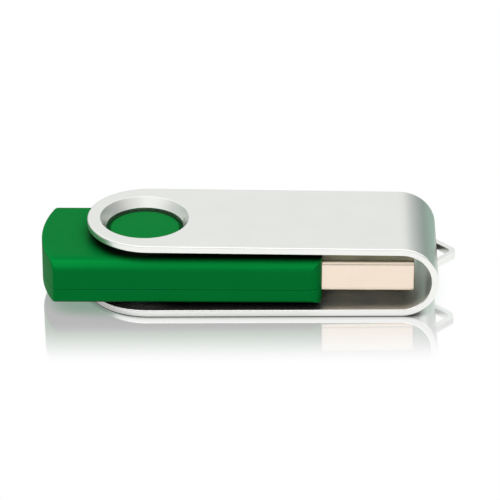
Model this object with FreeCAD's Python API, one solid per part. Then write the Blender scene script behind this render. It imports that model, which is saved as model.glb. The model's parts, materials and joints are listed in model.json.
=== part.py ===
import FreeCAD, Part
import math
import os

# Swivel USB flash drive: a moulded case with a USB-A plug and a U-bent metal clip that turns round the case.
# Millimetres. Every piece is drawn from the pivot: +X towards the plug, +Z up, the pivot along Z.
# On export the pieces move together, so that the origin is the centre of the whole drive's bounding box.

# Case
case_half_width = 8.28
case_half_height = 3.3
case_rear = -13.93
case_front = 23.88
rear_crown_radius = 19.1
rear_edge_radius = 0.45
front_corner_radius = 1.8
upper_edge_radius = 1.8
lower_edge_radius = 0.95
smallest_inner_radius = 0.3
case_wall = 1.1
parting_z = -1.0
parting_groove = 0.07
lip_thickness = 0.5
lip_height = 0.8
lip_gap = 0.05

# Pivot: a disc on each face of the case, inside a ring groove that takes the clip's collar
disc_radius = 4.8
disc_top = 4.0
disc_edge_radius = 0.3
journal_radius = 5.13
journal_top = 3.65
groove_radius = 5.95
groove_floor = 2.85
disc_core_radius = 3.9
disc_core_z = 3.1

# Clip: one sheet bent to a U, whose two legs come together slightly towards the bend.
# It has some play along the pivot, and lying on a table it sits clip_lift above the case's middle.
sheet = 1.0
clip_half_width = 8.4
clip_end_x = 0.65
bend_centre_x = 34.45
bend_radius = 5.08
leg_tilt = 0.5
clip_lift = 0.2
sheet_edge_radius = 0.18
collar_bore_radius = 5.2
collar_wall = 0.6
collar_end_z = 3.2
mouth_width = 0.8
mouth_depth = 1.3
collar_shoulder = 1.0

# Lanyard loop: a strip lanced out of the bend and pushed outwards to a V
loop_half_height = 0.5
loop_strip = 0.75
loop_root_y = 3.2
loop_end_y = 3.9
loop_root_inset = 0.07
loop_root_radius = 0.4
loop_apex_half = 0.45
loop_apex_x = 41.53
loop_apex_radius = 0.55
loop_inner_radius = 0.1

# USB-A plug
plug_z = -0.2
plug_half_width = 6.0
plug_half_height = 2.25
plug_corner_radius = 0.6
plug_sheet = 0.3
plug_rear = 18.45
plug_tip = 36.28
plug_tip_radius = 0.12
latch_hole = 2.5
latch_hole_setback = 5.16
latch_hole_y = 2.25
seam_width = 0.08
insulator_block_end = 24.85
tongue_tip = 35.3
tongue_half_width = 5.4
tongue_top = 0.12
contact_width = 1.0
contact_thickness = 0.2
contact_tail = 15.65
outer_contact_y = 3.5
inner_contact_y = 1.0
outer_contact_tip = 34.0
inner_contact_tip = 33.0
leg_front = 17.25
leg_rear = 16.05
leg_low = -1.7
leg_high = 0.9
leg_bridge_low = 0.1
tongue_tip_chamfer = 0.3

# Circuit board and what is soldered to it
board_top = plug_z
board_bottom = parting_z
board_half_width = 7.0
board_rear = -11.35
board_front = 18.35
board_corner_radius = 1.2
leg_slot_gap = 0.1
standoff = 0.1
lead_pitch = 0.5
lead_width = 0.22
lead_thickness = 0.13
memory_x = -0.05
memory_size = (18.4, 12.0, 1.0)
memory_leads_per_side = 24
controller_x = 11.65
controller_size = (7.0, 7.0, 0.9)
controller_leads_per_side = 12
lead_reach_memory = 0.8
lead_reach_controller = 1.0
crystal_place = (12.55, -3.6)
crystal_size = (3.2, 2.5, 0.7)
crystal_lid_size = (2.7, 2.0, 0.2)
led_place = (-10.85, 0.0)
chip_size = (1.6, 0.8, 0.5)
chip_cap_length = 0.3
resistor_places = [(11.15, 1.6), (13.05, 1.6), (11.15, 3.4), (13.05, 3.4)]
capacitor_places = [(11.15, 5.0), (13.05, 5.0), (12.15, -0.2), (12.15, -5.9)]

bevel = 0.12
dimple_radius = 0.5
dimple_depth = 0.08
dimple_inset = 1.2
lead_foot = 0.45
crystal_corner = 0.3
lid_corner = 0.4
lid_edge = 0.12
led_length = 0.8
led_base_width = 1.6
led_base_height = 0.3
led_lens_width = 1.0
led_height = 0.65
chip_lift = 0.02
cap_overhang = 0.05

# Solder: cones as (radius on the board, radius at the end, height)
tail_bead = (0.75, 0.3, 0.35)
leg_bead = (0.95, 0.7, 0.3)

# Ribs that hold the board and the plug
rib_xs = (-7.95, 9.65)
rib_thickness = 0.9
rib_inner_y = 6.45
post_inner_y = 5.9
saddle_x = 20.75
saddle_thickness = 1.2

roof_z = case_half_height - case_wall
rear_limit = case_rear
front_limit = loop_apex_x + loop_strip / 2
pivot_x = -(rear_limit + front_limit) / 2
far = 60.0


def vec(x, y, z):
    return FreeCAD.Vector(x, y, z)


def box(x, y, z):
    """Box between the given (low, high) pairs."""
    size = [high - low for low, high in (x, y, z)]
    return Part.makeBox(*size, vec(x[0], y[0], z[0]))


def rod(radius, low, high, x=0.0, y=0.0):
    """Round rod along Z."""
    return Part.makeCylinder(radius, high - low, vec(x, y, low))


def outline(corners):
    """Closed wire in the XY plane through corners (x, y, rounding radius)."""
    points = [vec(x, y, 0) for x, y, _ in corners]
    ends = []
    for i, (_, _, radius) in enumerate(corners):
        here = points[i]
        back = (points[i - 1] - here).normalize()
        on = (points[(i + 1) % len(points)] - here).normalize()
        half = back.getAngle(on) / 2
        reach = radius / math.tan(half)
        middle = here + (back + on).normalize() * (radius / math.sin(half) - radius)
        ends.append((here + back * reach, middle, here + on * reach, radius))
    edges = []
    for i, (start, middle, stop, radius) in enumerate(ends):
        if radius > 0:
            edges.append(Part.Arc(start, middle, stop).toShape())
        following = ends[(i + 1) % len(ends)][0]
        if stop.distanceToPoint(following) > 1e-6:
            edges.append(Part.LineSegment(stop, following).toShape())
    return Part.Wire(edges)


def prism(corners, low, high):
    """Solid with an XY outline, from z = low to z = high."""
    face = Part.Face(outline(corners))
    face.translate(vec(0, 0, low))
    return face.extrude(vec(0, 0, high - low))


def along_x(shape):
    """Turns a shape drawn in XY and raised along Z, so that it lies in YZ and runs along X."""
    turned = shape.copy()
    turned.rotate(vec(0, 0, 0), vec(1, 1, 1), 120)
    return turned


def rectangle(x, y, radius=0.0):
    """Four rounded corners, anticlockwise, between the given (low, high) pairs."""
    return [(x[0], y[0], radius), (x[1], y[0], radius), (x[1], y[1], radius), (x[0], y[1], radius)]


def one_solid(shape):
    """The single solid that a boolean left, without split faces."""
    return shape.removeSplitter().Solids[0]


def mirrored(shape):
    """The same shape on the other side of the XZ plane."""
    return shape.mirror(vec(0, 0, 0), vec(0, 1, 0))


def group(shapes):
    """Separate solids that share a node."""
    return Part.makeCompound([solid for shape in shapes for solid in shape.Solids])


# ---- Case ----


def case_block(inset):
    """The case's outer form made smaller by inset: rounded long edges, crowned rear end, rounded corners."""
    width = case_half_width - inset
    height = case_half_height - inset
    front = case_front - inset
    corner, upper, lower = [
        max(radius - inset, smallest_inner_radius)
        for radius in (front_corner_radius, upper_edge_radius, lower_edge_radius)
    ]
    start = case_rear - 1
    section = outline([
        (-width, -height, lower), (width, -height, lower), (width, height, upper), (-width, height, upper)
    ])
    bar = along_x(Part.Face(section).extrude(vec(0, 0, front - start)))
    bar.translate(vec(start, 0, 0))
    plan = [(start, -width, 0), (front, -width, corner), (front, width, corner), (start, width, 0)]
    bar = bar.common(prism(plan, -far, far))
    crown_x = case_rear + rear_crown_radius
    beyond = box((start - 1, crown_x), (-far, far), (-far, far))
    return bar.cut(beyond.cut(rod(rear_crown_radius - inset, -far, far, crown_x)))


def softened_case():
    """The case's outer form with its rear edge rounded."""
    block = one_solid(case_block(0))
    rear_edges = [edge for edge in block.Edges if edge.BoundBox.XMax < case_rear + 2.5]
    return block.makeFillet(rear_edge_radius, rear_edges)


def pivot_disc(side):
    """Raised disc with its journal, which the clip's collar turns on."""
    low, high = sorted((side * roof_z, side * journal_top))
    journal = rod(journal_radius, low, high)
    low, high = sorted((side * roof_z, side * disc_top))
    disc = rod(disc_radius, low, high)
    rim = [edge for edge in disc.Edges if abs(edge.BoundBox.ZMin - side * disc_top) < 0.01]
    rim = [edge for edge in rim if edge.BoundBox.ZLength < 0.01]
    return journal.fuse(disc.makeFillet(disc_edge_radius, rim))


def hollow_case():
    """Both case shells in one, with the pivot discs and the ring grooves round them."""
    outer = softened_case()
    case = outer.cut(case_block(case_wall))
    for side in (1, -1):
        low, high = sorted((side * groove_floor, side * far))
        case = case.cut(rod(groove_radius, low, high))
        case = case.fuse(pivot_disc(side))
        low, high = sorted((side * (roof_z - 0.1), side * disc_core_z))
        case = case.cut(rod(disc_core_radius, low, high))
    band = (parting_z - parting_groove / 2, parting_z + parting_groove / 2)
    ring = box((-far, far), (-far, far), band).cut(case_block(parting_groove))
    return case.cut(ring).cut(plug_envelope())


def plug_envelope():
    """The bar of space that the plug's shell takes."""
    section = rectangle(
        (-plug_half_width, plug_half_width),
        (plug_z - plug_half_height, plug_z + plug_half_height),
        plug_corner_radius,
    )
    bar = along_x(prism(section, 0, far))
    bar.translate(vec(plug_rear, 0, 0))
    return bar


def lip_space(gap):
    """Ring along the inside of the case wall, where the lower shell's lip stands."""
    ring = case_block(case_wall - lip_thickness - gap).cut(case_block(case_wall))
    band = box((-far, case_front - 3), (-far, far), (parting_z, parting_z + lip_height + gap))
    return ring.common(band)


def side_ribs(inner_y, low, high):
    """Ribs at both walls that pinch the board's long edges."""
    ribs = []
    for x in rib_xs:
        span = (x - rib_thickness / 2, x + rib_thickness / 2)
        rib = box(span, (inner_y, far), (low, high))
        ribs += [rib, mirrored(rib)]
    return ribs


def saddle():
    """Cross rib under the roof, against the plug's flat face."""
    span = (saddle_x - saddle_thickness / 2, saddle_x + saddle_thickness / 2)
    return box(span, (-plug_half_width, plug_half_width), (plug_z + plug_half_height, far))


def upper_shell():
    shell = hollow_case().common(box((-far, far), (-far, far), (parting_z, far)))
    shell = shell.cut(lip_space(lip_gap))
    ribs = side_ribs(rib_inner_y, board_top, far) + [saddle()]
    inside = case_block(case_wall / 2)
    for rib in ribs:
        shell = shell.fuse(rib.common(inside))
    return one_solid(shell)


def lower_shell():
    shell = hollow_case().common(box((-far, far), (-far, far), (-far, parting_z)))
    inside = case_block(case_wall / 2)
    for rib in side_ribs(post_inner_y, -far, board_bottom):
        shell = shell.fuse(rib.common(inside))
    return one_solid(shell.fuse(lip_space(0)))


# ---- Clip ----


def leg_point(x, depth):
    """Point of the upper leg's side profile at x, depth below its outer face."""
    tilt = math.radians(leg_tilt)
    height = (bend_radius - depth + (bend_centre_x - x) * math.sin(tilt)) / math.cos(tilt)
    return vec(x, 0, height)


def bend_point(radius, angle):
    """Point of the bend's side profile, with the angle in degrees up from +X."""
    turn = math.radians(angle)
    return vec(bend_centre_x + radius * math.cos(turn), 0, radius * math.sin(turn))


def below(point):
    return vec(point.x, 0, -point.z)


def bent_sheet():
    """The U of sheet: two tilted legs and a round bend, with round ends at the pivot."""
    end_x = -clip_half_width - 1
    outer_end = leg_point(end_x, 0)
    inner_end = leg_point(end_x, sheet)
    inner_radius = bend_radius - sheet
    outer_bend = bend_point(bend_radius, 90 - leg_tilt)
    inner_bend = bend_point(inner_radius, 90 - leg_tilt)
    profile = Part.Wire([
        Part.LineSegment(outer_end, outer_bend).toShape(),
        Part.Arc(outer_bend, bend_point(bend_radius, 0), below(outer_bend)).toShape(),
        Part.LineSegment(below(outer_bend), below(outer_end)).toShape(),
        Part.LineSegment(below(outer_end), below(inner_end)).toShape(),
        Part.LineSegment(below(inner_end), below(inner_bend)).toShape(),
        Part.Arc(below(inner_bend), bend_point(inner_radius, 0), inner_bend).toShape(),
        Part.LineSegment(inner_bend, inner_end).toShape(),
        Part.LineSegment(inner_end, outer_end).toShape(),
    ])
    band = Part.Face(profile).extrude(vec(0, 2 * clip_half_width, 0))
    band.translate(vec(0, -clip_half_width, 0))
    plan = box((clip_end_x, far), (-clip_half_width, clip_half_width), (-far, far))
    plan = plan.fuse(rod(clip_half_width, -far, far, clip_end_x))
    return one_solid(band.common(plan))


def loop_strip_solid():
    """V-shaped lanyard strip: it leaves the bend at both roots and meets at a blunt apex."""
    root_x = bend_centre_x + bend_radius - sheet / 2 - loop_root_inset
    half = loop_strip / 2
    slope = math.atan2(loop_root_y - loop_apex_half, loop_apex_x - root_x)
    shift = half * math.tan((math.pi / 2 - slope) / 2)
    outer = [
        (root_x + half, loop_end_y, 0),
        (root_x + half, loop_root_y + shift, loop_root_radius),
        (loop_apex_x + half, loop_apex_half + shift, loop_apex_radius),
    ]
    inner = [
        (root_x - half, loop_end_y, 0),
        (root_x - half, loop_root_y - shift, loop_root_radius),
        (loop_apex_x - half, loop_apex_half - shift, loop_inner_radius),
    ]
    ring = outer + flipped(outer[::-1]) + flipped(inner) + inner[::-1]
    return prism(ring, -loop_half_height, loop_half_height)


def flipped(corners):
    """The same outline corners on the other side of the X axis."""
    return [(x, -y, radius) for x, y, radius in corners]


def collar():
    """Collar pressed in from the upper leg, unbored: a rod with a conical shoulder under the sheet."""
    outer = collar_bore_radius + collar_wall
    mid_leg = leg_point(0, sheet / 2).z
    shoulder_foot = vec(0, 0, mid_leg - collar_shoulder)
    shoulder = Part.makeCone(outer, outer + collar_shoulder, collar_shoulder, shoulder_foot)
    return rod(outer, collar_end_z, mid_leg).fuse(shoulder)


def collar_mouth():
    """Cone that widens the collar's bore towards the upper leg's outer face, carried on past that face."""
    foot = vec(0, 0, leg_point(0, 0).z - mouth_depth)
    return Part.makeCone(collar_bore_radius, collar_bore_radius + 2 * mouth_width, 2 * mouth_depth, foot)


def lower(shape):
    """The same shape on the lower leg."""
    return shape.mirror(vec(0, 0, 0), vec(0, 0, 1))


def swivel_clip():
    clip = bent_sheet()
    rims = [edge for edge in clip.Edges if is_sheet_rim(edge)]
    clip = clip.makeFillet(sheet_edge_radius, rims)
    clip = clip.fuse(collar()).fuse(lower(collar()))
    clip = clip.cut(rod(collar_bore_radius, -far, far)).cut(collar_mouth()).cut(lower(collar_mouth()))
    window = box(
        (bend_centre_x + 2, far),
        (-loop_root_y, loop_root_y),
        (-loop_half_height, loop_half_height),
    )
    return one_solid(clip.cut(window).fuse(loop_strip_solid()))


def is_sheet_rim(edge):
    """True for the long edges of the sheet: all but the lines across its width or its thickness."""
    bound = edge.BoundBox
    across_width = bound.YLength > 2 * clip_half_width - 0.01 and bound.XLength < 0.01
    across_sheet = bound.XLength < 0.05 and bound.YLength < 0.05
    return not across_width and not across_sheet


# ---- Plug ----


def plug_shell():
    outer = along_x(prism(plug_section(0), 0, plug_tip - plug_rear))
    outer.translate(vec(plug_rear, 0, 0))
    tip_edges = [edge for edge in outer.Edges if edge.BoundBox.XMin > plug_tip - 0.01]
    outer = outer.makeFillet(plug_tip_radius, tip_edges)
    shell = outer.cut(plug_bore())
    hole_front = plug_tip - latch_hole_setback
    for y in (-latch_hole_y, latch_hole_y):
        sides = ((y - latch_hole / 2, y + latch_hole / 2), (-far, far))
        shell = shell.cut(box((hole_front - latch_hole, hole_front), *sides))
    seam = box((plug_rear - 1, far), (-seam_width / 2, seam_width / 2), (-far, plug_z))
    shell = shell.cut(seam)
    return one_solid(shell.fuse(plug_leg()).fuse(mirrored(plug_leg())))


def plug_section(inset):
    width = plug_half_width - inset
    height = plug_half_height - inset
    corner = plug_corner_radius - inset
    return rectangle((-width, width), (plug_z - height, plug_z + height), corner)


def plug_bore():
    """The space inside the plug's shell."""
    bore = along_x(prism(plug_section(plug_sheet), 0, far))
    bore.translate(vec(plug_rear - 1, 0, 0))
    return bore


def plug_leg():
    """Solder leg: a tab behind the shell's side wall that goes down through the board."""
    sides = (plug_half_width - plug_sheet, plug_half_width)
    bridge = box((leg_rear, plug_rear), sides, (plug_z + leg_bridge_low, plug_z + leg_high))
    drop = box((leg_rear, leg_front), sides, (plug_z + leg_low, plug_z + leg_high))
    return bridge.fuse(drop)


def contact(y, tip):
    """Flat spring contact, from its tail on the board to its nose on the tongue."""
    sides = (y - contact_width / 2, y + contact_width / 2)
    blade = box((contact_tail, tip), sides, (plug_z, plug_z + contact_thickness))
    nose = [edge for edge in blade.Edges if edge.BoundBox.XMin > tip - 0.01]
    nose = [edge for edge in nose if edge.BoundBox.ZMin > plug_z + contact_thickness / 2]
    return blade.makeChamfer(contact_thickness * 0.7, nose)


def plug_insulator():
    """Moulded block with the tongue that carries the contacts."""
    block_span = box((plug_rear, insulator_block_end), (-far, far), (-far, far))
    block = plug_bore().common(block_span)
    floor = plug_z - plug_half_height + plug_sheet
    tongue = box(
        (insulator_block_end - 1, tongue_tip),
        (-tongue_half_width, tongue_half_width),
        (floor, plug_z + tongue_top),
    )
    tip_edges = [edge for edge in tongue.Edges if edge.BoundBox.XMin > tongue_tip - 0.01]
    nose = [edge for edge in tip_edges if edge.BoundBox.YLength > 1]
    tongue = tongue.makeChamfer(tongue_tip_chamfer, nose)
    insulator = block.fuse(tongue)
    for blade in all_contacts().values():
        insulator = insulator.cut(blade)
    return one_solid(insulator)


def all_contacts():
    return {
        "contact_vbus": contact(-outer_contact_y, outer_contact_tip),
        "contact_data_minus": contact(-inner_contact_y, inner_contact_tip),
        "contact_data_plus": contact(inner_contact_y, inner_contact_tip),
        "contact_ground": contact(outer_contact_y, outer_contact_tip),
    }


def plug_solder():
    """Solder at the contacts' tails and round the shell's legs."""
    joints = []
    for blade in all_contacts().values():
        y = blade.BoundBox.Center.y
        bead = Part.makeCone(*tail_bead, vec(contact_tail, y, board_top))
        joints.append(bead.cut(blade))
    leg_x = (leg_front + leg_rear) / 2
    leg_y = plug_half_width - plug_sheet / 2
    collar = Part.makeCone(*leg_bead, vec(leg_x, leg_y, board_bottom), vec(0, 0, -1))
    collar = collar.cut(plug_leg())
    joints += [collar, mirrored(collar)]
    return group(joints)


# ---- Circuit board ----


def circuit_board():
    plan = rectangle(
        (board_rear, board_front), (-board_half_width, board_half_width), board_corner_radius
    )
    board = prism(plan, board_bottom, board_top)
    slot = box(
        (leg_rear - leg_slot_gap, leg_front + leg_slot_gap),
        (plug_half_width - plug_sheet - leg_slot_gap, plug_half_width + leg_slot_gap),
        (-far, far),
    )
    return one_solid(board.cut(slot).cut(mirrored(slot)))


def package(x, size, side):
    """Moulded chip package with bevelled edges and a pin-one dimple, on the board's upper or lower face."""
    length, width, height = size
    body = box((-length / 2, length / 2), (-width / 2, width / 2), (standoff, standoff + height))
    body = body.makeChamfer(bevel, body.Edges)
    dimple_floor = standoff + height - dimple_depth
    dimple = rod(dimple_radius, dimple_floor, far, dimple_inset - length / 2, dimple_inset - width / 2)
    return on_board(body.cut(dimple), x, 0, side)


def on_board(shape, x, y, side):
    """Moves a piece drawn on z = 0 to a place on the board's upper (1) or lower (-1) face."""
    placed = shape.copy()
    if side < 0:
        placed.rotate(vec(0, 0, 0), vec(1, 0, 0), 180)
    placed.translate(vec(x, y, board_top if side > 0 else board_bottom))
    return placed


def gull_lead(reach, mid_height):
    """One gull-wing lead that leaves the package at x = 0 and stands on z = 0."""
    t = lead_thickness
    knee = reach - lead_foot
    side_view = [
        (0, mid_height, 0), (knee - t, mid_height, 0), (knee, 0, 0), (reach, 0, 0),
        (reach, t, 0), (knee + t * 0.6, t, 0), (knee, mid_height + t, 0), (0, mid_height + t, 0),
    ]
    lead = prism(side_view, -lead_width / 2, lead_width / 2)
    lead.rotate(vec(0, 0, 0), vec(1, 0, 0), 90)
    return lead


def lead_row(size, reach, count, turn):
    """Row of leads along one side of a package, the side that faces turn degrees from +X."""
    length, width, height = size
    half = length / 2 if turn % 180 == 0 else width / 2
    row = []
    for i in range(count):
        lead = gull_lead(reach, standoff + height / 2 - lead_thickness / 2)
        lead.translate(vec(half, (i - (count - 1) / 2) * lead_pitch, 0))
        lead.rotate(vec(0, 0, 0), vec(0, 0, 1), turn)
        row.append(lead)
    return row


def memory_chip_leads():
    rows = []
    for turn in (0, 180):
        rows += lead_row(memory_size, lead_reach_memory, memory_leads_per_side, turn)
    return group([on_board(lead, memory_x, 0, 1) for lead in rows])


def controller_leads():
    rows = []
    for turn in (0, 90, 180, 270):
        rows += lead_row(controller_size, lead_reach_controller, controller_leads_per_side, turn)
    return group([on_board(lead, controller_x, 0, -1) for lead in rows])


def crystal_base():
    length, width, height = crystal_size
    base = prism(rectangle((-length / 2, length / 2), (-width / 2, width / 2), crystal_corner), 0, height)
    return on_board(base, *crystal_place, 1)


def crystal_lid():
    length, width, height = crystal_lid_size
    lid = prism(rectangle((-length / 2, length / 2), (-width / 2, width / 2), lid_corner), 0, height)
    rim = [edge for edge in lid.Edges if edge.BoundBox.ZMin > height - 0.01]
    lid = lid.makeFillet(lid_edge, rim)
    lid.translate(vec(0, 0, crystal_size[2]))
    return on_board(lid, *crystal_place, 1)


def status_led():
    """Small light: a base with a narrower lens on it, across the board's rear edge."""
    along = (-led_length / 2, led_length / 2)
    base = box(along, (-led_base_width / 2, led_base_width / 2), (0, led_base_height))
    lens = box(along, (-led_lens_width / 2, led_lens_width / 2), (led_base_height, led_height))
    return on_board(base.fuse(lens), *led_place, 1)


def chip_bodies(places, height):
    length, width, _ = chip_size
    inner = length / 2 - chip_cap_length
    bodies = []
    for x, y in places:
        body = box((-inner, inner), (-width / 2, width / 2), (chip_lift, height))
        bodies.append(on_board(body, x, y, 1))
    return group(bodies)


def chip_end_caps():
    """Metal caps on both ends of each resistor and capacitor."""
    length, width, height = chip_size
    caps = []
    for x, y in resistor_places + capacitor_places:
        for side in (-1, 1):
            span = sorted((side * length / 2, side * (length / 2 - chip_cap_length)))
            cap = box(span, (-width / 2, width / 2), (0, height + cap_overhang))
            caps.append(on_board(cap, x, y, 1))
    return group(caps)


def all_parts():
    parts = {
        "swivel_clip": swivel_clip(),
        "upper_shell": upper_shell(),
        "lower_shell": lower_shell(),
        "plug_shell": plug_shell(),
        "plug_insulator": plug_insulator(),
        "plug_solder": plug_solder(),
        "circuit_board": circuit_board(),
        "memory_chip": package(memory_x, memory_size, 1),
        "memory_chip_leads": memory_chip_leads(),
        "controller_chip": package(controller_x, controller_size, -1),
        "controller_leads": controller_leads(),
        "crystal_base": crystal_base(),
        "crystal_lid": crystal_lid(),
        "status_led": status_led(),
        "chip_resistors": chip_bodies(resistor_places, chip_size[2] - 0.1),
        "chip_capacitors": chip_bodies(capacitor_places, chip_size[2]),
        "chip_end_caps": chip_end_caps(),
    }
    parts.update(all_contacts())
    return parts


os.makedirs("parts", exist_ok=True)
for name, shape in all_parts().items():
    shape.translate(vec(pivot_x, 0, 0 if name == "swivel_clip" else -clip_lift))
    shape.exportStep(f"parts/{name}.step")
    bound = shape.BoundBox
    print(name, shape.isValid(), len(shape.Solids), round(shape.Volume, 2), bound)
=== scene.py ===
import json
import math

import bpy
from mathutils import Matrix, Vector

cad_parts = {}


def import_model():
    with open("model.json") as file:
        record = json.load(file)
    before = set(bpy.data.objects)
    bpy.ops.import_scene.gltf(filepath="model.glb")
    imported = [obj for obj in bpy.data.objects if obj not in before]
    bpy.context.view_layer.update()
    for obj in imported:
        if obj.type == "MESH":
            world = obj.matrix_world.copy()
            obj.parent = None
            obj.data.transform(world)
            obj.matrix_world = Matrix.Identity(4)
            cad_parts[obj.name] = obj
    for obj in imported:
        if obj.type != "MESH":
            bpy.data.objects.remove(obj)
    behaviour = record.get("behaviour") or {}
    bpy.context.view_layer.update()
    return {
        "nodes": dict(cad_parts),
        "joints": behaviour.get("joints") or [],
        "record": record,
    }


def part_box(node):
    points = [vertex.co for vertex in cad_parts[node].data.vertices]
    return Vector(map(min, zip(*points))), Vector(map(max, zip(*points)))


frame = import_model()
nodes = frame["nodes"]

MM = 0.001
WHITE = (1.0, 1.0, 1.0)

# How finely a grain runs along X, Y and Z
EVEN = (1, 1, 1)
DRAWN = (0.3, 4.0, 4.0)

# slot: dark tone, light tone, grain in features per millimetre, roughness range
MOULDED = {
    "insulator_plastic": ((0.72, 0.71, 0.67), (0.84, 0.83, 0.79), 3.0, (0.4, 0.55)),
    "board_laminate": ((0.010, 0.11, 0.05), (0.018, 0.17, 0.08), 2.0, (0.2, 0.32)),
    "chip_epoxy": ((0.018, 0.018, 0.019), (0.045, 0.045, 0.047), 9.0, (0.5, 0.7)),
    "ceramic": ((0.45, 0.40, 0.33), (0.60, 0.55, 0.46), 6.0, (0.5, 0.7)),
    "led_resin": ((0.75, 0.70, 0.45), (0.90, 0.86, 0.66), 2.0, (0.1, 0.2)),
    "resistor_ceramic": ((0.02, 0.02, 0.022), (0.06, 0.06, 0.066), 6.0, (0.4, 0.55)),
    "capacitor_ceramic": ((0.30, 0.21, 0.13), (0.46, 0.34, 0.22), 6.0, (0.4, 0.55)),
}

# slot: dark tone, light tone, how finely the grain runs, roughness range
PLATED = {
    "contact_gold": ((0.80, 0.52, 0.17), (0.95, 0.70, 0.31), DRAWN, (0.22, 0.34)),
    "tinned_leads": ((0.62, 0.62, 0.63), (0.80, 0.80, 0.80), DRAWN, (0.3, 0.45)),
    "solder": ((0.60, 0.61, 0.62), (0.83, 0.84, 0.85), EVEN, (0.15, 0.4)),
    "crystal_metal": ((0.70, 0.68, 0.63), (0.84, 0.82, 0.77), DRAWN, (0.22, 0.34)),
}

# The room behind and in front of the drive: Z of the direction (-1 to 1), light from there
ROOM_BEHIND = [
    (-0.2, (0.20, 0.34, 0.27)),
    (0.0, (0.20, 0.34, 0.27)),
    (0.2, (0.50, 0.60, 0.58)),
    (0.38, (1.0, 1.0, 1.0)),
    (0.55, (1.0, 1.0, 1.0)),
    (0.7, (1.3, 1.3, 1.3)),
    (0.85, (1.25, 1.25, 1.25)),
    (1.0, (1.0, 1.0, 1.0)),
]
ROOM_IN_FRONT = [
    (-0.2, (0.45, 0.45, 0.45)),
    (0.0, (0.45, 0.45, 0.45)),
    (0.38, (0.55, 0.55, 0.55)),
    (0.50, (1.25, 1.25, 1.25)),
    (0.8, (1.35, 1.35, 1.35)),
    (0.92, (1.2, 1.2, 1.2)),
    (1.0, (1.0, 1.0, 1.0)),
]

# Painted shade on the floor near the drive, seen only by the camera: how far round it looks
# in millimetres, the openness at which it is darkest, the openness at which it ends, and its
# darkest tone
PAINTED_FLOOR_SHADES = [
    # painted green shade, standing in for light thrown off the green case
    (5.0, 0.1, 0.72, (0.50, 0.74, 0.58)),
    # painted contact shadow under the clip's lower leg
    (1.3, 0.35, 0.95, (0.01, 0.01, 0.01)),
]


# ---- Node helpers ----


def new_material(name):
    """A node material; returns the material, its node tree and its Principled shader."""
    mat = bpy.data.materials.new(name)
    mat.use_nodes = True
    tree = mat.node_tree
    return mat, tree, tree.nodes["Principled BSDF"]


def feed(tree, node, inputs):
    """Links a node's inputs to outputs, or sets them to numbers, vectors or RGB colours."""
    for key, value in inputs.items():
        socket = node.inputs[key]
        if isinstance(value, bpy.types.NodeSocket):
            tree.links.new(value, socket)
        elif socket.type == "RGBA":
            socket.default_value = (*value, 1.0)
        else:
            socket.default_value = value


def add(tree, kind, inputs={}, **properties):
    """Adds a shader node of this kind, sets its properties and feeds its inputs."""
    node = tree.nodes.new("ShaderNode" + kind)
    for key, value in properties.items():
        setattr(node, key, value)
    feed(tree, node, inputs)
    return node


def axes(tree, coordinate):
    """X, Y and Z of a texture coordinate, by name."""
    vector = add(tree, "TexCoord").outputs[coordinate]
    return add(tree, "SeparateXYZ", {0: vector}).outputs


def noise(tree, fineness, scale, detail=3.0, roughness=0.5):
    """Noise value with scale features per millimetre, times the fineness along each axis."""
    place = add(tree, "TexCoord").outputs["Object"]
    per_metre = [1000 * f for f in fineness]
    place = add(tree, "VectorMath", {0: place, 1: per_metre}, operation="MULTIPLY").outputs[0]
    inputs = {"Vector": place, "Scale": scale, "Detail": detail, "Roughness": roughness}
    return add(tree, "TexNoise", inputs).outputs["Fac"]


def map_range(tree, value, low, high, to_low, to_high, interpolation="LINEAR"):
    """Turns low..high into to_low..to_high, and holds the ends outside that range."""
    inputs = {
        "Value": value, "From Min": low, "From Max": high, "To Min": to_low, "To Max": to_high,
    }
    return add(tree, "MapRange", inputs, interpolation_type=interpolation).outputs["Result"]


def fade(tree, value, low, high, to_low, to_high):
    """As map_range, with smooth ends."""
    return map_range(tree, value, low, high, to_low, to_high, "SMOOTHSTEP")


def calc(tree, operation, a, b=0.0):
    return add(tree, "Math", {0: a, 1: b}, operation=operation).outputs[0]


def mix_colour(tree, factor, a, b, blend="MIX"):
    sockets = {0: factor, 6: a, 7: b}
    return add(tree, "Mix", sockets, data_type="RGBA", blend_type=blend).outputs[2]


def dimmed(tree, tone, value):
    """A tone multiplied by a plain value."""
    grey = add(tree, "CombineColor", {0: value, 1: value, 2: value}).outputs[0]
    return mix_colour(tree, 1.0, tone, grey, "MULTIPLY")


def ramp(tree, value, stops):
    """Colour by value, through (value, colour) stops between -1 and 1."""
    node = add(tree, "ValToRGB", {"Fac": map_range(tree, value, -1.0, 1.0, 0.0, 1.0)})
    elements = node.color_ramp.elements
    while len(elements) < len(stops):
        elements.new(0.5)
    for element, (at, colour) in zip(elements, stops):
        element.position = (at + 1) / 2
        element.color = (*colour, 1)
    return node.outputs["Color"]


def softened_normal(tree, radius, samples):
    """Normal with the edges rounded off to radius millimetres."""
    return add(tree, "Bevel", {"Radius": radius * MM}, samples=samples).outputs["Normal"]


def bumped(tree, height, depth, strength=1.0, edge_radius=0.06):
    """Normal from a height (0..1) of depth millimetres, over edges softened by edge_radius."""
    soft = softened_normal(tree, edge_radius, 4)
    inputs = {"Strength": strength, "Distance": depth * MM, "Height": height, "Normal": soft}
    return add(tree, "Bump", inputs).outputs["Normal"]


def edge_mask(tree, radius):
    """1 on sharp edges, 0 on open faces, by how far a bevel of this radius turns the normal."""
    soft = softened_normal(tree, radius, 6)
    plain = add(tree, "NewGeometry").outputs["Normal"]
    dot = add(tree, "VectorMath", {0: soft, 1: plain}, operation="DOT_PRODUCT").outputs["Value"]
    return map_range(tree, dot, 0.995, 0.9, 0.0, 1.0)


def openness(tree, reach, samples):
    """1 in the open and less in gaps, looking reach millimetres round the point."""
    inputs = {"Distance": reach * MM}
    return add(tree, "AmbientOcclusion", inputs, samples=samples).outputs["AO"]


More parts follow.
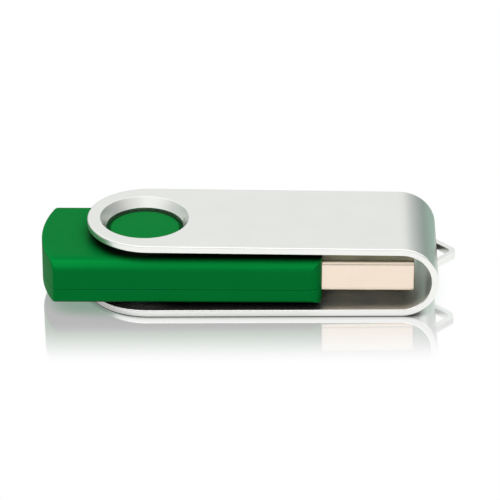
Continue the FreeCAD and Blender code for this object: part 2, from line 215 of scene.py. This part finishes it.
def shade_gaps(tree, tone, reach, low, high, darkest, samples=12):
    """Paints shade into a tone: dims it, down to darkest, as the openness within reach falls from
    high to low.
    """
    keep = fade(tree, openness(tree, reach, samples), low, high, darkest, 1.0)
    return dimmed(tree, tone, keep)


# ---- Materials ----


def clip_steel():
    """Satin sheet: very fine lengthwise grain, soft mottle from blasting, brighter worn edges,
    and painted shade in gaps.
    """
    mat, tree, shader = new_material("clip_steel")
    grain = noise(tree, (0.5, 9.0, 0.5), 1.4, 4.0, 0.6)
    speckle = noise(tree, EVEN, 7.0, 2.0, 0.6)
    mottle = noise(tree, EVEN, 0.22)
    edges = edge_mask(tree, 0.25)
    streaks = map_range(tree, grain, 0.35, 0.65, 0.0, 0.12)
    tone = mix_colour(tree, mottle, (0.755, 0.763, 0.735), (0.805, 0.813, 0.785))
    tone = mix_colour(tree, streaks, tone, (0.70, 0.705, 0.68))
    tone = mix_colour(tree, edges, tone, (0.93, 0.93, 0.925))
    rough = map_range(tree, speckle, 0.3, 0.7, 0.30, 0.38)
    coarse = calc(tree, "MULTIPLY", grain, 0.7)
    fine = calc(tree, "MULTIPLY", speckle, 0.3)
    feed(tree, shader, {
        # Painted shade: the tone goes nearly black in the gaps and hollows of the clip
        "Base Color": shade_gaps(tree, tone, 5.0, 0.05, 0.18, 0.01),
        "Metallic": 1.0,
        "Roughness": calc(tree, "SUBTRACT", rough, calc(tree, "MULTIPLY", edges, 0.10)),
        "Normal": bumped(tree, calc(tree, "ADD", coarse, fine), 0.004),
    })
    return mat


def painted_facing_light(tree):
    """Painted light and shade: a factor on a tone by how far a face looks up, least when upright,
    most when slanting.
    """
    up = axes(tree, "Normal")["Z"]
    slant = fade(tree, up, 0.05, 0.60, 0.70, 1.14)
    level = fade(tree, up, 0.75, 0.98, 0.0, 0.23)
    downward = fade(tree, up, -0.5, -0.05, 0.22, 0.0)
    return calc(tree, "ADD", calc(tree, "SUBTRACT", slant, level), downward)


def case_plastic():
    """Satin paint over moulded plastic: a fine texture, slightly patchy tone, worn edges, with
    painted shade on upright faces and in gaps and painted light on slanting faces.
    """
    mat, tree, shader = new_material("case_plastic")
    fine = noise(tree, EVEN, 5.0, 3.0, 0.6)
    patch = noise(tree, EVEN, 0.16)
    pits = map_range(tree, fine, 0.35, 0.7, 0.0, 0.10)
    wear = calc(tree, "MULTIPLY", edge_mask(tree, 0.35), 0.35)
    tone = mix_colour(tree, patch, (0.0010, 0.185, 0.030), (0.0020, 0.215, 0.037))
    tone = mix_colour(tree, pits, tone, (0.001, 0.12, 0.020))
    tone = mix_colour(tree, wear, tone, (0.006, 0.33, 0.075))
    # Painted shade on upright faces and painted light on slanting ones
    tone = dimmed(tree, tone, painted_facing_light(tree))
    feed(tree, shader, {
        # Painted shade: darker in gaps, under the clip's legs and near the floor
        "Base Color": shade_gaps(tree, tone, 6.0, 0.22, 0.74, 0.01),
        "Metallic": 0.2,
        "Specular IOR Level": 0.0,
        "Roughness": map_range(tree, fine, 0.3, 0.7, 0.34, 0.42),
        "Normal": bumped(tree, fine, 0.006, 0.6, 0.08),
    })
    return mat


def plug_nickel():
    """Nickel plate on folded sheet: lengthwise insertion scratches, a faint warm tarnish, and
    painted shade in its hollows.
    """
    mat, tree, shader = new_material("plug_nickel")
    scratches = noise(tree, (0.12, 7.0, 7.0), 1.5, 3.0, 0.6)
    tarnish = noise(tree, EVEN, 0.35, 4.0)
    bright = map_range(tree, scratches, 0.58, 0.72, 0.0, 0.2)
    tone = mix_colour(tree, tarnish, (0.79, 0.68, 0.57), (0.75, 0.63, 0.51))
    tone = mix_colour(tree, bright, tone, (0.84, 0.76, 0.67))
    feed(tree, shader, {
        # Painted shade: darker in the hollows and gaps of the plug
        "Base Color": shade_gaps(tree, tone, 2.5, 0.05, 0.40, 0.30),
        "Metallic": 1.0,
        "Roughness": map_range(tree, scratches, 0.3, 0.7, 0.20, 0.28),
        "Normal": bumped(tree, scratches, 0.0012),
    })
    return mat


def moulded(name, dark, light, grain_scale, rough):
    """Plain moulded or fired piece with a fine grain between two tones."""
    mat, tree, shader = new_material(name)
    grain = noise(tree, EVEN, grain_scale, 4.0, 0.6)
    feed(tree, shader, {
        "Base Color": mix_colour(tree, grain, dark, light),
        "Roughness": map_range(tree, grain, 0.3, 0.7, *rough),
        "Normal": bumped(tree, grain, 0.006),
    })
    return mat


def plated(name, dark, light, fineness, rough):
    """Plated metal with a grain between two tones."""
    mat, tree, shader = new_material(name)
    grain = noise(tree, fineness, 2.0, 3.0, 0.6)
    feed(tree, shader, {
        "Base Color": mix_colour(tree, grain, dark, light),
        "Metallic": 1.0,
        "Roughness": map_range(tree, grain, 0.3, 0.7, *rough),
        "Normal": bumped(tree, grain, 0.003),
    })
    return mat


def paint_nodes():
    """Gives every CAD node the material of its slot in the record."""
    made = {
        "clip_steel": clip_steel(),
        "case_plastic": case_plastic(),
        "plug_nickel": plug_nickel(),
    }
    for make, looks in ((moulded, MOULDED), (plated, PLATED)):
        for slot, look in looks.items():
            made[slot] = make(slot, *look)
    for part in frame["record"]["subparts"]:
        slots = nodes[part["node"]].data.materials
        slots.clear()
        slots.append(made[part["material_slot"]])


# ---- Studio ----


def floor():
    """Glossy white table top, flat under the clip's lower leg."""
    rest_face = next(m for m in frame["record"]["mounts"] if m["name"] == "rest_face")
    point = Vector(rest_face["pos_m"])
    normal = -Vector(rest_face["axis"])
    half_size = 1.5
    gap = 0.02 * MM
    side = Vector((0, 1, 0))
    along = side.cross(normal)
    ways = ((-1, -1), (1, -1), (1, 1), (-1, 1))
    corners = [point + along * (half_size * a) + side * (half_size * b) for a, b in ways]
    mesh = bpy.data.meshes.new("floor")
    mesh.from_pydata(corners, [], [(0, 1, 2, 3)])
    mesh.update()
    mesh.materials.append(floor_material())
    obj = bpy.data.objects.new("floor", mesh)
    bpy.context.scene.collection.objects.link(obj)
    obj.location = -normal * gap


def distance_beyond(tree, coordinate, middle, half):
    """How far a coordinate is outside middle +- half, and 0 inside."""
    offset = calc(tree, "ABSOLUTE", calc(tree, "SUBTRACT", coordinate, middle))
    return calc(tree, "MAXIMUM", calc(tree, "SUBTRACT", offset, half), 0.0)


def floor_mirror(tree, place):
    """How much the floor mirrors: most under the closed drive, none a short way out from it."""
    case_low, case_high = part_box("lower_shell")
    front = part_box("swivel_clip")[1].x
    middle = (case_low.x + front) / 2
    beyond_ends = distance_beyond(tree, place["X"], middle, front - middle)
    beyond_sides = distance_beyond(tree, place["Y"], 0.0, case_high.y)
    squares = [calc(tree, "POWER", gap, 2.0) for gap in (beyond_ends, beyond_sides)]
    away = calc(tree, "SQRT", calc(tree, "ADD", *squares))
    return fade(tree, away, 1 * MM, 13 * MM, 0.52, 0.0)


def floor_material():
    """White to the camera, with painted shade, tinted green as light off the case, and a mirror
    image near the drive.

    The light it throws back on the drive is white in front and green-grey behind, dimmed by
    painted shade where the drive is close.
    """
    mat, tree, _ = new_material("floor_gloss")
    tree.nodes.clear()
    place = axes(tree, "Object")
    camera_ray = add(tree, "LightPath").outputs["Is Camera Ray"]
    seen_with_painted_shade = WHITE
    for reach, low, high, darkest in PAINTED_FLOOR_SHADES:
        lit = fade(tree, openness(tree, reach, 16), low, high, 0.0, 1.0)
        seen_with_painted_shade = mix_colour(tree, lit, darkest, seen_with_painted_shade)
    behind = fade(tree, place["Y"], -5 * MM, 25 * MM, 0.0, 1.0)
    bounce = mix_colour(tree, behind, (1.18, 1.18, 1.18), (0.36, 0.50, 0.43))
    # Painted shade in the light thrown back: dimmer where the floor is close to the drive
    bounce = shade_gaps(tree, bounce, 3.0, 0.35, 0.95, 0.45, 8)
    glow = add(tree, "Emission", {"Color": mix_colour(tree, camera_ray, bounce, seen_with_painted_shade)})
    gloss = add(tree, "BsdfGlossy", {"Roughness": 0.06, "Color": WHITE})
    mirror = calc(tree, "MULTIPLY", floor_mirror(tree, place), camera_ray)
    mix = add(tree, "MixShader", {0: mirror, 1: glow.outputs[0], 2: gloss.outputs[0]})
    add(tree, "OutputMaterial", {"Surface": mix.outputs[0]})
    return mat


def world():
    """White to the camera; to the drive, a soft room, bright overhead and dim lower down."""
    studio = bpy.data.worlds.new("studio")
    bpy.context.scene.world = studio
    studio.use_nodes = True
    tree = studio.node_tree
    tree.nodes.clear()
    towards = axes(tree, "Generated")
    behind = fade(tree, towards["Y"], -0.25, 0.25, 0.0, 1.0)
    in_front = ramp(tree, towards["Z"], ROOM_IN_FRONT)
    room = mix_colour(tree, behind, in_front, ramp(tree, towards["Z"], ROOM_BEHIND))
    # Dimmer to the right, except high up
    right = fade(tree, towards["X"], 0.08, 0.32, 1.0, 0.60)
    high = fade(tree, towards["Z"], 0.45, 0.60, 0.0, 1.0)
    room = dimmed(tree, room, calc(tree, "MAXIMUM", right, high))
    camera_ray = add(tree, "LightPath").outputs["Is Camera Ray"]
    glow = add(tree, "Background", {"Color": mix_colour(tree, camera_ray, room, WHITE)})
    add(tree, "OutputWorld", {"Surface": glow.outputs[0]})


def light():
    """One long soft light above the drive and a little in front."""
    origin = Vector((0, 0, 0))
    place = Vector((0.0, -0.11, 0.42))
    data = bpy.data.lights.new("key", "AREA")
    data.shape = "RECTANGLE"
    data.size = 0.60
    data.size_y = 0.10
    data.energy = 0.35
    obj = bpy.data.objects.new("key", data)
    bpy.context.scene.collection.objects.link(obj)
    obj.location = place
    obj.rotation_euler = (origin - place).to_track_quat("-Z", "Y").to_euler()


def camera():
    """View across the drive from a little above, with a long lens."""
    distance = 515.4 * MM
    azimuth = math.radians(-0.26)
    elevation = math.radians(28.52)
    roll = math.radians(0.13)
    pivot_x = frame["joints"][0]["pos_m"][0]
    look_at = Vector((pivot_x + 15.65 * MM, 0, 0))
    forward = Vector((
        math.sin(azimuth) * math.cos(elevation),
        math.cos(azimuth) * math.cos(elevation),
        -math.sin(elevation),
    ))
    turn = forward.to_track_quat("-Z", "Y").to_matrix()
    turn = Matrix.Rotation(-roll, 3, forward) @ turn
    data = bpy.data.cameras.new("camera")
    data.lens = 273.85
    data.sensor_width = 36
    data.shift_x = -0.0214
    data.shift_y = 0.0053
    data.clip_start = 0.01
    obj = bpy.data.objects.new("camera", data)
    bpy.context.scene.collection.objects.link(obj)
    obj.matrix_world = Matrix.Translation(look_at - forward * distance) @ turn.to_4x4()
    bpy.context.scene.camera = obj


paint_nodes()
floor()
world()
light()
camera()
bpy.context.scene.view_settings.view_transform = "Standard"
